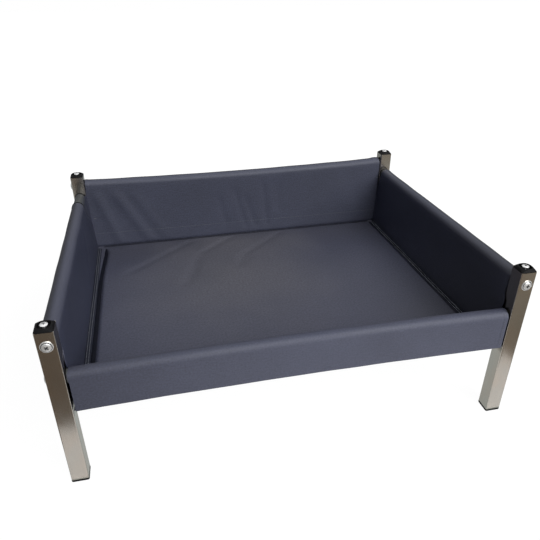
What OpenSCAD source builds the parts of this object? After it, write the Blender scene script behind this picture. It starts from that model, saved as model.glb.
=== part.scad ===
// Raised dog cot: four square legs, four round rails, and a cloth sling hung on the rails by its sleeves.
// Millimetres. Ground at z = 0, length along x, front at -y, origin under the middle of the cot.

/* [Overall size] */
// Length over the outer faces of the legs
cot_length = 783; // [600:1:1000]
// Depth over the outer faces of the legs, front to back
cot_depth = 628; // [450:1:800]
// Height of the upper ends of the leg tubes
leg_top = 304; // [260:1:400]

/* [Legs] */
// Width of the square leg tube
leg_width = 28; // [25:0.5:30]
// Wall of the leg tube
leg_wall = 1.5; // [1:0.1:2.5]
// Outside corner radius of the leg tube
leg_corner = 2.2; // [1:0.1:3]

/* [Caps and feet] */
// Height of a cap above its tube
cap_height = 4.6; // [4:0.1:8]
// Bevel round the top of a cap
cap_bevel = 2.4; // [1:0.1:3]
// Corner radius of a cap and a foot
cap_corner = 2.6; // [1:0.1:5]
// Height of a foot below its tube
foot_height = 3; // [2:0.5:10]
// Depth of the plug of a cap or foot inside its tube
plug_depth = 10; // [6:0.5:12]
// Gap between a plug and the tube's inner wall, each side
plug_clearance = 0.2; // [0.1:0.05:0.4]
// Diameter of the cap screw's head
screw_head = 12; // [9:0.5:13]
// Height of the cap screw's head
screw_head_height = 2.2; // [1.5:0.1:3]
// Diameter of the cap screw's shank
screw_diameter = 5; // [4:0.5:6]
// Width of the square nut under a cap
nut_width = 10; // [9:0.5:14]
// Thickness of that nut
nut_height = 3; // [2:0.5:4]

/* [Rails] */
// Outside diameter of the round rails
rail_diameter = 22; // [18:0.5:23]
// Wall of the rails
rail_wall = 1.5; // [1:0.1:2.5]
// Depth of the front rail's axis below the upper ends of the leg tubes
front_rail_drop = 91; // [69:1:114]
// Depth of the back rail's axis below the upper ends of the leg tubes
back_rail_drop = 24; // [20:1:28]
// Depth of a side rail's axis below the upper end of the front leg's tube, where the two meet
side_rail_drop = 24; // [20:1:44]
// Fall of a side rail from the front leg to the rear leg
side_rail_fall = 26; // [16:1:40]
// Length of the threaded insert in each rail end
insert_length = 28; // [22:1:40]

/* [Bolts] */
// Diameter of the bolt's shank
bolt_diameter = 6; // [5:0.5:8]
// Diameter of the flange under the bolt's head
bolt_flange = 19; // [14:0.5:20]
// Thickness of that flange
bolt_flange_height = 1.2; // [0.8:0.1:2]
// Diameter of the bolt's domed head
bolt_dome = 16; // [11:0.5:16]
// Height of the dome above the flange
bolt_dome_height = 3; // [2:0.1:4]
// Length of the shank inside the insert
bolt_reach = 20; // [12:1:21]
// Clearance of a shank in a drilled leg, each side
drill_clearance = 0.2; // [0.1:0.05:0.4]
// Clearance of a shank in its thread, and of an insert in its rail, each side
thread_clearance = 0.05; // [0.02:0.01:0.1]
// Width of a slot of a head's cross recess
recess_width = 1.5; // [1:0.1:2]
// Length of that slot
recess_length = 6; // [4:0.5:7]
// Depth of that slot
recess_depth = 1.4; // [0.8:0.1:1.8]

/* [Sling] */
// Thickness of the cloth
cloth = 1.2; // [0.8:0.1:1.6]
// Gap between a rail and its sleeve
sleeve_clearance = 0.3; // [0.1:0.05:0.6]
// Depth of the floor below the side rails' axes
floor_drop = 128; // [100:1:150]
// Distance of the floor's edge from the outer faces of the legs
floor_inset = 36.5; // [36:0.5:55]
// Distance between a wall's end and the leg beside it
panel_gap = 5; // [3:0.5:10]
// Distance between the rear left leg and the end of the left sleeve, where the rail is bare
bare_rail = 64.5; // [10:0.5:100]
// Depth of the corner seam's upper end below that bare rail
seam_drop = 62; // [30:1:90]
// Gap between two walls along their corner seam
corner_gap = 0.2; // [0.1:0.05:0.5]
// Width of the seam tape along the floor's left and right edges
tape_width = 10; // [6:0.5:16]
// Thickness of the seam tape
tape_thickness = 1.6; // [0.8:0.1:2.5]
// Gap between the seam tape and the wall's foot
tape_gap = 0.3; // [0.1:0.05:0.6]

/* [Hidden] */
$fn = 64;
LEFT = -1;
RIGHT = 1;
FRONT = -1;
REAR = 1;
STEEL = [0.62, 0.60, 0.57];
BRIGHT = [0.80, 0.80, 0.79];
BLACK = [0.06, 0.06, 0.065];
GREY = [0.30, 0.31, 0.32];
CLOTH = [0.26, 0.28, 0.34];
TAPE = [0.23, 0.25, 0.31];
// Room that a cut takes beyond the piece it cuts
spare = 2 * leg_width;
leg_x = (cot_length - leg_width) / 2;
leg_y = (cot_depth - leg_width) / 2;
leg_bore = leg_width - 2 * leg_wall;
plug_width = leg_bore - 2 * plug_clearance;
rail_span_x = cot_length - 2 * leg_width;
rail_span_y = cot_depth - 2 * leg_width;
insert_diameter = rail_diameter - 2 * rail_wall - 2 * thread_clearance;
cap_top = leg_top + cap_height;
screw_length = cap_height + plug_depth + nut_height;
bolt_length = leg_width + bolt_reach;
front_rail_height = leg_top - front_rail_drop;
back_rail_height = leg_top - back_rail_drop;
side_rail_front_height = leg_top - side_rail_drop;
side_rail_rear_height = side_rail_front_height - side_rail_fall;
// The side rails run down to the rear at this angle, and the sling's floor runs with them
tilt = atan(side_rail_fall / rail_span_y);
side_rail_middle = (side_rail_front_height + side_rail_rear_height) / 2;
floor_middle = side_rail_middle - floor_drop;
sleeve_inside = rail_diameter / 2 + sleeve_clearance;
sleeve_outside = sleeve_inside + cloth;
foot_reach = floor_inset - leg_width / 2;
floor_edge_x = cot_length / 2 - floor_inset;
floor_edge_y = cot_depth / 2 - floor_inset;
wall_end_x = rail_span_x / 2 - panel_gap;
wall_end_y = rail_span_y / 2 - panel_gap;
skirt_x = leg_x + sleeve_outside;
skirt_y = leg_y + sleeve_outside;

// Height of the floor's upper face at a place along the depth
function floor_height(y) = floor_middle - y * tan(tilt);

// Point where a line from the wall's foot, at [reach, 0], touches a circle on the rail's axis
function touch_angle(reach, rise, radius) =
    atan2(rise, -reach) - asin(radius / norm([reach, rise]));
function touch_length(reach, rise, radius) =
    sqrt(reach * reach + rise * rise - radius * radius);
function touch_point(reach, rise, radius) =
    [reach, 0] + touch_length(reach, rise, radius)
        * [cos(touch_angle(reach, rise, radius)), sin(touch_angle(reach, rise, radius))];

// Square with round corners, centred
module round_square(width, corner) {
    flat = width - 2 * corner;
    square([width, flat], center = true);
    square([flat, width], center = true);
    for (x = [-1, 1], y = [-1, 1]) {
        translate([x * flat / 2, y * flat / 2]) circle(corner);
    }
}

module at_leg(side, end) {
    translate([side * leg_x, end * leg_y, 0]) children();
}

module at_legs() {
    for (side = [LEFT, RIGHT], end = [FRONT, REAR]) at_leg(side, end) children();
}

// Cross recess cut into a screw or bolt head whose top is at z = 0
module cross_recess() {
    for (turn = [0, 90]) {
        rotate(turn)
            translate([-recess_length / 2, -recess_width / 2, -recess_depth])
                cube([recess_length, recess_width, 2 * recess_depth]);
    }
}

// Low dome standing on z = 0
module dome(diameter, height) {
    ball = (diameter * diameter / 4 + height * height) / (2 * height);
    intersection() {
        translate([0, 0, height - ball]) sphere(ball);
        cylinder(h = height, d = diameter);
    }
}

// Legs: square tubes, drilled front to back for a side rail's bolt and across for a front or back rail's bolt
module leg(side, end, side_rail_height, cross_rail_height) {
    hole = bolt_diameter + 2 * drill_clearance;
    color(STEEL) at_leg(side, end) difference() {
        translate([0, 0, foot_height]) linear_extrude(leg_top - foot_height) difference() {
            round_square(leg_width, leg_corner);
            square(leg_bore, center = true);
        }
        translate([0, 0, side_rail_height]) rotate([90, 0, 0])
            cylinder(h = spare, d = hole, center = true);
        translate([0, 0, cross_rail_height]) rotate([0, 90, 0])
            cylinder(h = spare, d = hole, center = true);
    }
}

module front_left_leg() leg(LEFT, FRONT, side_rail_front_height, front_rail_height);
module front_right_leg() leg(RIGHT, FRONT, side_rail_front_height, front_rail_height);
module rear_left_leg() leg(LEFT, REAR, side_rail_rear_height, back_rail_height);
module rear_right_leg() leg(RIGHT, REAR, side_rail_rear_height, back_rail_height);

// Outline of a cap from the side, with its bevelled top edges
module cap_side() {
    half = leg_width / 2;
    polygon([
        [-half, 0], [half, 0], [half, cap_height - cap_bevel], [half - cap_bevel, cap_height],
        [cap_bevel - half, cap_height], [-half, cap_height - cap_bevel]
    ]);
}

// Caps: a bevelled head on the tube, a plug inside it, and a hole for the screw
module cap(side, end) {
    color(BLACK) at_leg(side, end) translate([0, 0, leg_top]) difference() {
        union() {
            intersection() {
                linear_extrude(cap_height) round_square(leg_width, cap_corner);
                rotate([90, 0, 0]) linear_extrude(spare, center = true) cap_side();
                rotate([90, 0, 90]) linear_extrude(spare, center = true) cap_side();
            }
            translate([-plug_width / 2, -plug_width / 2, -plug_depth])
                cube([plug_width, plug_width, plug_depth]);
        }
        cylinder(h = spare, d = screw_diameter + 2 * drill_clearance, center = true);
    }
}

module front_left_cap() cap(LEFT, FRONT);
module front_right_cap() cap(RIGHT, FRONT);
module rear_left_cap() cap(LEFT, REAR);
module rear_right_cap() cap(RIGHT, REAR);

// Feet: a pad under the tube and a plug inside it
module foot(side, end) {
    color(BLACK) at_leg(side, end) {
        linear_extrude(foot_height) round_square(leg_width, cap_corner);
        translate([-plug_width / 2, -plug_width / 2, 0])
            cube([plug_width, plug_width, foot_height + plug_depth]);
    }
}

module front_left_foot() foot(LEFT, FRONT);
module front_right_foot() foot(RIGHT, FRONT);
module rear_left_foot() foot(LEFT, REAR);
module rear_right_foot() foot(RIGHT, REAR);

// Cap screws, each with a domed head on its cap
module cap_screws() {
    color(BRIGHT) at_legs() translate([0, 0, cap_top]) {
        difference() {
            dome(screw_head, screw_head_height);
            translate([0, 0, screw_head_height]) cross_recess();
        }
        translate([0, 0, -screw_length]) cylinder(h = screw_length, d = screw_diameter);
    }
}

// Square nuts under the caps' plugs
module cap_nuts() {
    color(GREY) at_legs() translate([0, 0, leg_top - plug_depth - nut_height]) difference() {
        translate([-nut_width / 2, -nut_width / 2, 0]) cube([nut_width, nut_width, nut_height]);
        cylinder(h = spare, d = screw_diameter + 2 * thread_clearance, center = true);
    }
}

// Round bar along x between the legs, for the front and back rails
module cross_bar(diameter, end, height, length) {
    translate([0, end * leg_y, height]) rotate([0, 90, 0])
        cylinder(h = length, d = diameter, center = true);
}

// Round bar along a side, falling to the rear
module side_bar(diameter, side) {
    translate([side * leg_x, 0, side_rail_middle]) rotate([90 - tilt, 0, 0])
        cylinder(h = cot_depth, d = diameter, center = true);
}

module cross_rail(end, height) {
    color(GREY) difference() {
        cross_bar(rail_diameter, end, height, rail_span_x);
        cross_bar(rail_diameter - 2 * rail_wall, end, height, cot_length);
    }
}

module front_rail() cross_rail(FRONT, front_rail_height);
module back_rail() cross_rail(REAR, back_rail_height);

// Side rails have their ends cut upright, flush with the legs' faces
module side_rail(side) {
    color(GREY) intersection() {
        difference() {
            side_bar(rail_diameter, side);
            side_bar(rail_diameter - 2 * rail_wall, side);
        }
        translate([side * leg_x, 0, side_rail_middle]) cube([spare, rail_span_y, cot_depth], center = true);
    }
}

module left_rail() side_rail(LEFT);
module right_rail() side_rail(RIGHT);

// Threaded inserts, one in each end of a front or back rail
module cross_rail_inserts(end, height) {
    color(BRIGHT) for (side = [LEFT, RIGHT]) difference() {
        translate([side * (rail_span_x - insert_length) / 2, 0, 0])
            cross_bar(insert_diameter, end, height, insert_length);
        cross_bar(bolt_diameter + 2 * thread_clearance, end, height, cot_length);
    }
}

module front_rail_inserts() cross_rail_inserts(FRONT, front_rail_height);
module back_rail_inserts() cross_rail_inserts(REAR, back_rail_height);

function side_rail_height(end) = end == FRONT ? side_rail_front_height : side_rail_rear_height;

// Threaded inserts in a side rail, drilled level for the bolts
module side_rail_inserts(side) {
    color(BRIGHT) for (end = [FRONT, REAR]) difference() {
        intersection() {
            side_bar(insert_diameter, side);
            translate([side * leg_x, end * (rail_span_y - insert_length) / 2, side_rail_height(end)])
                cube([spare, insert_length, spare], center = true);
        }
        translate([side * leg_x, end * leg_y, side_rail_height(end)]) rotate([90, 0, 0])
            cylinder(h = 2 * bolt_length, d = bolt_diameter + 2 * thread_clearance, center = true);
    }
}

module left_rail_inserts() side_rail_inserts(LEFT);
module right_rail_inserts() side_rail_inserts(RIGHT);

// Bolt with a flanged dome head, its flange on z = 0 and its shank below
module bolt() {
    head_top = bolt_flange_height + bolt_dome_height;
    difference() {
        union() {
            cylinder(h = bolt_flange_height, d = bolt_flange);
            translate([0, 0, bolt_flange_height]) dome(bolt_dome, bolt_dome_height);
        }
        translate([0, 0, head_top]) cross_recess();
    }
    translate([0, 0, -bolt_length]) cylinder(h = bolt_length, d = bolt_diameter);
}

// Bolts that hold a front or back rail, on the outer side faces of two legs
module cross_rail_bolts(end, height) {
    color(BRIGHT) for (side = [LEFT, RIGHT]) {
        translate([side * cot_length / 2, end * leg_y, height]) rotate([0, side * 90, 0]) bolt();
    }
}

module front_rail_bolts() cross_rail_bolts(FRONT, front_rail_height);
module back_rail_bolts() cross_rail_bolts(REAR, back_rail_height);

// Bolts that hold a side rail, on the front face of one leg and the rear face of another
module side_rail_bolts(side) {
    color(BRIGHT) for (end = [FRONT, REAR]) {
        translate([side * leg_x, end * cot_depth / 2, side_rail_height(end)])
            rotate([end * -90, 0, 0]) bolt();
    }
}

module left_rail_bolts() side_rail_bolts(LEFT);
module right_rail_bolts() side_rail_bolts(RIGHT);

// The sling's own frame: z = 0 is the floor's upper face, which falls to the rear
module in_sling() {
    translate([0, 0, floor_middle]) rotate([-tilt, 0, 0]) children();
}

module above_floor() {
    in_sling() translate([-cot_length, -cot_depth, 0]) cube([2 * cot_length, 2 * cot_depth, leg_top]);
}

// Section of a wall: an outer panel hung from the sleeve, the sleeve round the rail, and an inner panel that
// leans in to the floor's edge. x runs inwards from the rail's axis, y up from the floor's edge.
module wall_outline(reach, rise, radius) {
    lean = touch_angle(reach, rise, radius);
    tail = [reach, 0] - spare * [cos(lean), sin(lean)];
    translate([0, rise]) circle(radius);
    polygon([[-radius, rise], [-radius, tail.y], tail, touch_point(reach, rise, radius)]);
}

module wall_section(rise) {
    lean = touch_angle(foot_reach, rise, sleeve_outside);
    difference() {
        wall_outline(foot_reach, rise, sleeve_outside);
        wall_outline(foot_reach - cloth / sin(lean), rise, sleeve_inside);
    }
}

// Plan of the space for a wall: cut square beside the legs and mitred at the corner seams.
// x runs along the wall, y outwards from the floor's edge.
module wall_plan(edge, wall_end) {
    corner = edge - corner_gap;
    intersection() {
        polygon([
            [-corner - spare, spare], [spare - corner, -spare],
            [corner - spare, -spare], [corner + spare, spare]
        ]);
        square([2 * wall_end, 4 * spare], center = true);
    }
}

// Front and back walls, along x
module cross_wall(end, rail_height) {
    edge_y = end * floor_edge_y;
    intersection() {
        above_floor();
        translate([0, edge_y, 0]) linear_extrude(leg_top)
            mirror([0, end == FRONT ? 1 : 0]) wall_plan(floor_edge_x, wall_end_x);
        translate([0, end * leg_y, floor_height(edge_y)])
            rotate([90, 0, 90]) linear_extrude(cot_length, center = true)
                mirror([end == REAR ? 1 : 0, 0]) wall_section(rail_height - floor_height(edge_y));
    }
}

module front_wall() color(CLOTH) cross_wall(FRONT, front_rail_height);
module back_wall() color(CLOTH) cross_wall(REAR, back_rail_height);

// Side walls, along the falling side rails
module side_wall(side) {
    intersection() {
        above_floor();
        translate([side * floor_edge_x, 0, 0]) linear_extrude(leg_top)
            rotate(side * -90) wall_plan(floor_edge_y, wall_end_y);
        in_sling() translate([side * leg_x, 0, 0])
            rotate([90, 0, 0]) linear_extrude(cot_depth, center = true)
                mirror([side == RIGHT ? 1 : 0, 0]) wall_section(floor_drop * cos(tilt));
    }
}

// Space over the bare end of the left rail, seen from the side: x to the rear, y up
module bare_rail_space() {
    sleeve_end = rail_span_y / 2 - bare_rail;
    rail_at_end = side_rail_middle - sleeve_end * tan(tilt);
    seam_top = side_rail_rear_height - seam_drop;
    polygon([
        [sleeve_end, leg_top], [sleeve_end, rail_at_end - sleeve_outside],
        [floor_edge_y, seam_top], [floor_edge_y + spare, seam_top], [floor_edge_y + spare, leg_top]
    ]);
}

module left_wall() {
    color(CLOTH) difference() {
        side_wall(LEFT);
        translate([-leg_x, 0, 0]) rotate([90, 0, 90])
            linear_extrude(2 * spare, center = true) bare_rail_space();
    }
}

module right_wall() color(CLOTH) side_wall(RIGHT);

// Floor: one cloth panel out to the feet of the outer panels, cut out round the legs
module floor_panel() {
    notch = leg_width + panel_gap;
    color(CLOTH) difference() {
        intersection() {
            in_sling() translate([-cot_length, -cot_depth, -cloth])
                cube([2 * cot_length, 2 * cot_depth, cloth]);
            linear_extrude(leg_top) square([2 * skirt_x, 2 * skirt_y], center = true);
        }
        at_legs() linear_extrude(leg_top) square(2 * notch - leg_width, center = true);
    }
}

// Seam tapes along the floor's left and right edges
module seam_tape(side) {
    tape_length = 2 * (floor_edge_y - tape_width);
    middle = floor_edge_x - tape_gap - tape_width / 2;
    color(TAPE) in_sling() translate([side * middle, 0, tape_thickness / 2])
        cube([tape_width, tape_length, tape_thickness], center = true);
}

module left_seam_tape() seam_tape(LEFT);
module right_seam_tape() seam_tape(RIGHT);

front_left_leg();
front_right_leg();
rear_left_leg();
rear_right_leg();
front_left_cap();
front_right_cap();
rear_left_cap();
rear_right_cap();
front_left_foot();
front_right_foot();
rear_left_foot();
rear_right_foot();
cap_screws();
cap_nuts();
front_rail();
back_rail();
left_rail();
right_rail();
front_rail_inserts();
back_rail_inserts();
left_rail_inserts();
right_rail_inserts();
front_rail_bolts();
back_rail_bolts();
left_rail_bolts();
right_rail_bolts();
floor_panel();
front_wall();
back_wall();
left_wall();
right_wall();
left_seam_tape();
right_seam_tape();
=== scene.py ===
"""Raised dog cot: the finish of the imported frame, its cloth sling and its fittings.

All sizes are in metres, and the ground is at z = 0.
"""
import math

import bpy
import numpy as np
from mathutils import Matrix, Vector


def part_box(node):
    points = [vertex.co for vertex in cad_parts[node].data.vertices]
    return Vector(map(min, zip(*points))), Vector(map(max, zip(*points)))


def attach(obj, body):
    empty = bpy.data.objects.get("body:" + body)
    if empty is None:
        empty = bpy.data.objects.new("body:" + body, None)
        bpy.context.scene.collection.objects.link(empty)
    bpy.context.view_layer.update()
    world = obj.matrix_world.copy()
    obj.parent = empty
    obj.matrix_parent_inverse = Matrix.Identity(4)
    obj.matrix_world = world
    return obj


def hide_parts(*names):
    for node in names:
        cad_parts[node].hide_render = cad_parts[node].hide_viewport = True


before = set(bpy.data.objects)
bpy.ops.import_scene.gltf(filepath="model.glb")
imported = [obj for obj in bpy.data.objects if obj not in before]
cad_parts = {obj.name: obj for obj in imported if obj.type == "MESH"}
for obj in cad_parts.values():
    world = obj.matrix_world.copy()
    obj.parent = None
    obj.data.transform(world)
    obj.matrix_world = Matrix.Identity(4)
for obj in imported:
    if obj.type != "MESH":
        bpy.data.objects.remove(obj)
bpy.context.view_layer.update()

MM = 0.001
TURN = 2 * math.pi
SAME_PLACE = 0.01 * MM

# Sizes and places that come from the frame
leg_low, leg_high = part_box("rear_right_leg")
cap_low, cap_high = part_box("rear_right_cap")
front_rail_low, front_rail_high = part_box("front_rail")
back_rail_low, back_rail_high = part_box("back_rail")
side_rail_low, side_rail_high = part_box("right_rail")
floor_low, floor_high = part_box("floor_panel")
tape_low, tape_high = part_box("right_seam_tape")
screws_low, screws_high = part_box("cap_screws")

LEG_WIDTH = leg_high.x - leg_low.x
LEG_X = (leg_low.x + leg_high.x) / 2
LEG_Y = (leg_low.y + leg_high.y) / 2
LEG_TOP = leg_high.z
LEG_INNER_X = leg_low.x
LEG_INNER_Y = leg_low.y
CAP_TOP = cap_high.z
RAIL_RADIUS = (front_rail_high.z - front_rail_low.z) / 2
FRONT_RAIL_Z = (front_rail_low.z + front_rail_high.z) / 2
BACK_RAIL_Z = (back_rail_low.z + back_rail_high.z) / 2
SIDE_RAIL_FRONT_Z = side_rail_high.z - RAIL_RADIUS
SIDE_RAIL_REAR_Z = side_rail_low.z + RAIL_RADIUS
SLOPE = (SIDE_RAIL_REAR_Z - SIDE_RAIL_FRONT_Z) / (side_rail_high.y - side_rail_low.y)
SLEEVE_RADIUS = floor_high.x - LEG_X
FLOOR_EDGE_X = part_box("right_wall")[0].x
FLOOR_EDGE_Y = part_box("back_wall")[0].y
WALL_FOOT_IN = LEG_X - FLOOR_EDGE_X
TAPE_WIDTH = tape_high.x - tape_low.x
TAPE_X = (tape_low.x + tape_high.x) / 2

# Sizes of the sling's make
CLOTH = 1.2 * MM
THREAD_PITCH = 0.55 * MM
RIB_PITCH = 1.1 * MM
HEM_RETURN = 10 * MM
HEM_BEND = 1.5 * MM
HEM_BELOW_FLOOR = 2.6 * MM
END_HEM = 8 * MM
END_HEM_RISE = 0.5 * MM
STITCH_PITCH = 4.2 * MM
STITCH_LENGTH = 3.1 * MM
STITCH_RADIUS = 0.4 * MM
BARE_RAIL = 64.5 * MM
CORNER_SLIT = 62 * MM
FLOOR_SAG = 3 * MM
LEG_NOTCH = 1.2 * MM

# Grooves in the floor beside its seams: the line of each from the middle, its width, depth and shoulder
LEFT_GROOVE = (340.8 * MM, 6.2 * MM, 11 * MM, 10 * MM)
RIGHT_GROOVE = (342 * MM, 3.6 * MM, 9 * MM, 3 * MM)
END_GROOVE = (274.5 * MM, 4 * MM, 1.5 * MM, 5 * MM)
# How far the left groove is drawn in towards the rear, between which places, and where it runs out
REAR_DRAW = 8 * MM
REAR_DRAW_Y = (90 * MM, 285 * MM)
RUN_OUT_Y = (END_GROOVE[0] - 42 * MM, END_GROOVE[0])

# How far the stretched sling draws the middles of the long rails: inwards, upwards
FRONT_BOW = (4 * MM, 2 * MM)
BACK_BOW = (4 * MM, -4 * MM)
RAIL_WALL = 1.5 * MM

# Sizes of the fittings
CAP_CORNER = 3.4 * MM
CAP_TOP_CORNER = 10.4 * MM
CAP_BEVEL_IN = 2.6 * MM
CAP_BEVEL_DOWN = 4.2 * MM
CAP_EDGE = 1.1 * MM
PLUG_INSET = 1.7 * MM
PLUG_DEPTH = LEG_TOP - cap_low.z
FOOT_HEIGHT = leg_low.z
FOOT_LIP = 0.7 * MM
FOOT_PROUD = 0.35 * MM
FOOT_CORNER = 3 * MM
BOLT_HEAD = 3.8 * MM
BOLT_LENGTH = LEG_WIDTH + 20 * MM
SCREW_HEAD = screws_high.z - CAP_TOP
SCREW_LENGTH = CAP_TOP - screws_low.z


def floor_z(y):
    """Height of the sling's floor, which falls to the rear."""
    return floor_high.z + SLOPE * (y - floor_low.y)


def side_rail_z(y):
    """Height of a side rail's axis, which falls with the floor."""
    return (SIDE_RAIL_FRONT_Z + SIDE_RAIL_REAR_Z) / 2 + SLOPE * y


def drawn(x):
    """Share of a long rail's bow: none at its legs, all at its middle."""
    return np.clip(1 - (x / LEG_INNER_X) ** 2, 0, 1)


# Modelling by hand


def leave_edit():
    bpy.ops.object.mode_set(mode="OBJECT")


def only(*pieces):
    """Selects these pieces and nothing else."""
    if bpy.context.mode != "OBJECT":
        leave_edit()
    bpy.ops.object.select_all(action="DESELECT")
    for piece in pieces:
        piece.select_set(True)
    bpy.context.view_layer.objects.active = pieces[-1] if pieces else None


def edit(piece, mode="FACE"):
    """Opens a piece in edit mode with nothing selected."""
    only(piece)
    bpy.ops.object.mode_set(mode="EDIT")
    bpy.ops.mesh.select_mode(type=mode)
    bpy.ops.mesh.select_all(action="DESELECT")


def edit_all(piece, mode="FACE"):
    """Opens a piece in edit mode with everything selected."""
    edit(piece, mode)
    bpy.ops.mesh.select_all(action="SELECT")


def extrude(x, y, z):
    """Extrudes the selected faces by a move."""
    bpy.ops.mesh.extrude_region_move(TRANSFORM_OT_translate={"value": (x, y, z)})


def pick(piece, kind, test):
    """Selects the faces or edges of the edited piece that pass a test of their centre and themselves."""
    bpy.ops.mesh.select_all(action="DESELECT")
    leave_edit()
    for item in getattr(piece.data, kind):
        if kind == "edges":
            centre = sum((piece.data.vertices[index].co for index in item.vertices), Vector()) / 2
        else:
            centre = item.center
        item.select = test(centre, item)
    bpy.ops.object.mode_set(mode="EDIT")


def modify(piece, kind, **settings):
    """Adds a modifier to a piece and applies it."""
    only(piece)
    modifier = piece.modifiers.new(kind.title(), kind)
    for name, value in settings.items():
        setattr(modifier, name, value)
    bpy.ops.object.modifier_apply(modifier=modifier.name)


def join(name, pieces):
    """Joins pieces into one, under this name."""
    only(*pieces)
    if len(pieces) > 1:
        bpy.ops.object.join()
    piece = bpy.context.object
    piece.name = name
    piece.data.name = name
    return piece


def copy(piece, matrix):
    """Another piece of the same make, with its own mesh, moved by a matrix."""
    only(piece)
    bpy.ops.object.duplicate()
    made = bpy.context.object
    made.data.transform(matrix)
    return made


def remove(piece):
    only(piece)
    bpy.ops.object.delete()


def face_out(piece):
    """Closes the seams of a turned or joined mesh and turns its faces outwards."""
    edit_all(piece)
    bpy.ops.mesh.remove_doubles(threshold=SAME_PLACE)
    bpy.ops.mesh.normals_make_consistent(inside=False)
    leave_edit()


def face_up(piece, face):
    """Turns a sheet over if this face of it points down."""
    if face.normal.z < 0:
        edit_all(piece)
        bpy.ops.mesh.flip_normals()
        leave_edit()


def round_edges(piece, width, segments, degrees):
    """Rounds the edges of a piece that are sharper than an angle."""
    limit = math.radians(degrees)
    modify(piece, "BEVEL", width=width, segments=segments, limit_method="ANGLE", angle_limit=limit)


def smooth(piece, degrees=35):
    only(piece)
    bpy.ops.object.shade_smooth_by_angle(angle=math.radians(degrees))


def finish_piece(piece, material, slot, *nodes):
    """Gives a piece its material and ride, and hides the frame's solids that it stands for. The slot is not
    used.
    """
    piece.data.materials.clear()
    piece.data.materials.append(material)
    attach(piece, "root")
    if nodes:
        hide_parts(*nodes)
    return piece


# Shader maths


class Value:
    """A node's output that takes part in sums: each operator adds a Math node."""

    def __init__(self, finish, socket):
        self.finish = finish
        self.socket = socket

    def math(self, operation, *values):
        return self.finish.node("Math", {"operation": operation}, dict(enumerate(values)))

    def __add__(self, other):
        return self.math("ADD", self, other)

    def __sub__(self, other):
        return self.math("SUBTRACT", self, other)

    def __rsub__(self, other):
        return self.math("SUBTRACT", other, self)

    def __mul__(self, other):
        return self.math("MULTIPLY", self, other)

    __radd__ = __add__
    __rmul__ = __mul__

    def __abs__(self):
        return self.math("ABSOLUTE", self)

    def sine(self):
        return self.math("SINE", self)

    def most(self, other):
        return self.math("MAXIMUM", self, other)

    def ease(self, low, high):
        """0 below low, 1 above high, and a smooth step between them."""
        ramp = {"interpolation_type": "SMOOTHSTEP"}
        return self.finish.node("MapRange", ramp, {"Value": self, "From Min": low, "From Max": high})


class Finish:
    """A node tree that is written as values and sums."""

    def __init__(self, tree):
        self.tree = tree

    def node(self, kind, settings, inputs, output=0):
        """Adds a node with its settings first, then the values or links of its sockets."""
        made = self.tree.nodes.new("ShaderNode" + kind)
        for name, value in settings.items():
            setattr(made, name, value)
        self.feed(made, inputs)
        return Value(self, made.outputs[output])

    def feed(self, node, inputs):
        for name, value in inputs.items():
            if isinstance(value, Value):
                self.tree.links.new(value.socket, node.inputs[name])
            else:
                node.inputs[name].default_value = value

    def place(self, x=1, y=1, z=1):
        """Object coordinates, stretched by a scale along each axis."""
        where = self.node("TexCoord", {}, {}, "Object")
        return self.node("Mapping", {}, {"Vector": where, "Scale": (x, y, z)})

    def axis(self, name, vector=None):
        """One coordinate of a vector, or else of the object's own."""
        return self.node("SeparateXYZ", {}, {"Vector": vector or self.place()}, name)

    def length(self, vector):
        return self.node("VectorMath", {"operation": "LENGTH"}, {0: vector}, "Value")

    def noise(self, vector, scale, detail=2.0, roughness=0.5):
        inputs = {"Vector": vector, "Scale": scale, "Detail": detail, "Roughness": roughness}
        return self.node("TexNoise", {}, inputs)

    def mix(self, factor, first, second):
        """A colour between two colours."""
        inputs = {"Factor": factor, 6: first, 7: second}
        return self.node("Mix", {"data_type": "RGBA"}, inputs, 2)

    def bump(self, height, depth, strength=1.0):
        return self.node("Bump", {}, {"Height": height, "Distance": depth, "Strength": strength})


# The shader's sockets that hold one value all over a finish
SOCKETS = {"gloss": "Specular IOR Level", "metallic": "Metallic"}


class Coat(Finish):
    """The finish of a material with one Principled shader."""

    def __init__(self, name):
        self.material = bpy.data.materials.new(name)
        self.material.use_nodes = True
        super().__init__(self.material.node_tree)
        self.shader = self.tree.nodes["Principled BSDF"]

    def close(self, base, rough, relief, **constants):
        """Feeds the shader its colour, roughness, relief and constants, and returns the material."""
        self.feed(self.shader, {"Base Color": base, "Roughness": rough, "Normal": relief})
        self.feed(self.shader, {SOCKETS[name]: value for name, value in constants.items()})
        return self.material


def colour(red, green, blue, tone=1.0):
    """A colour for a socket, made lighter or darker by a tone."""
    return (tone * red, tone * green, tone * blue, 1.0)


# Where dust settles on the floor: the middle of the place that is lain on, and its reach
LAIN_ON_MIDDLE = (-0.06, 0.09, 0.14)
LAIN_ON_REACH = (0.34, 0.36, 1.0)

# The first two tones are painted light and painted shade, mixed into the cloth in bands; the third is dust,
# also used for a painted lightening towards the rear of the floor
PAINTED_LIGHT = colour(0.25, 0.262, 0.34)
SHADED = colour(0.012, 0.013, 0.022)
DUST = colour(0.33, 0.31, 0.28)


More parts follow.
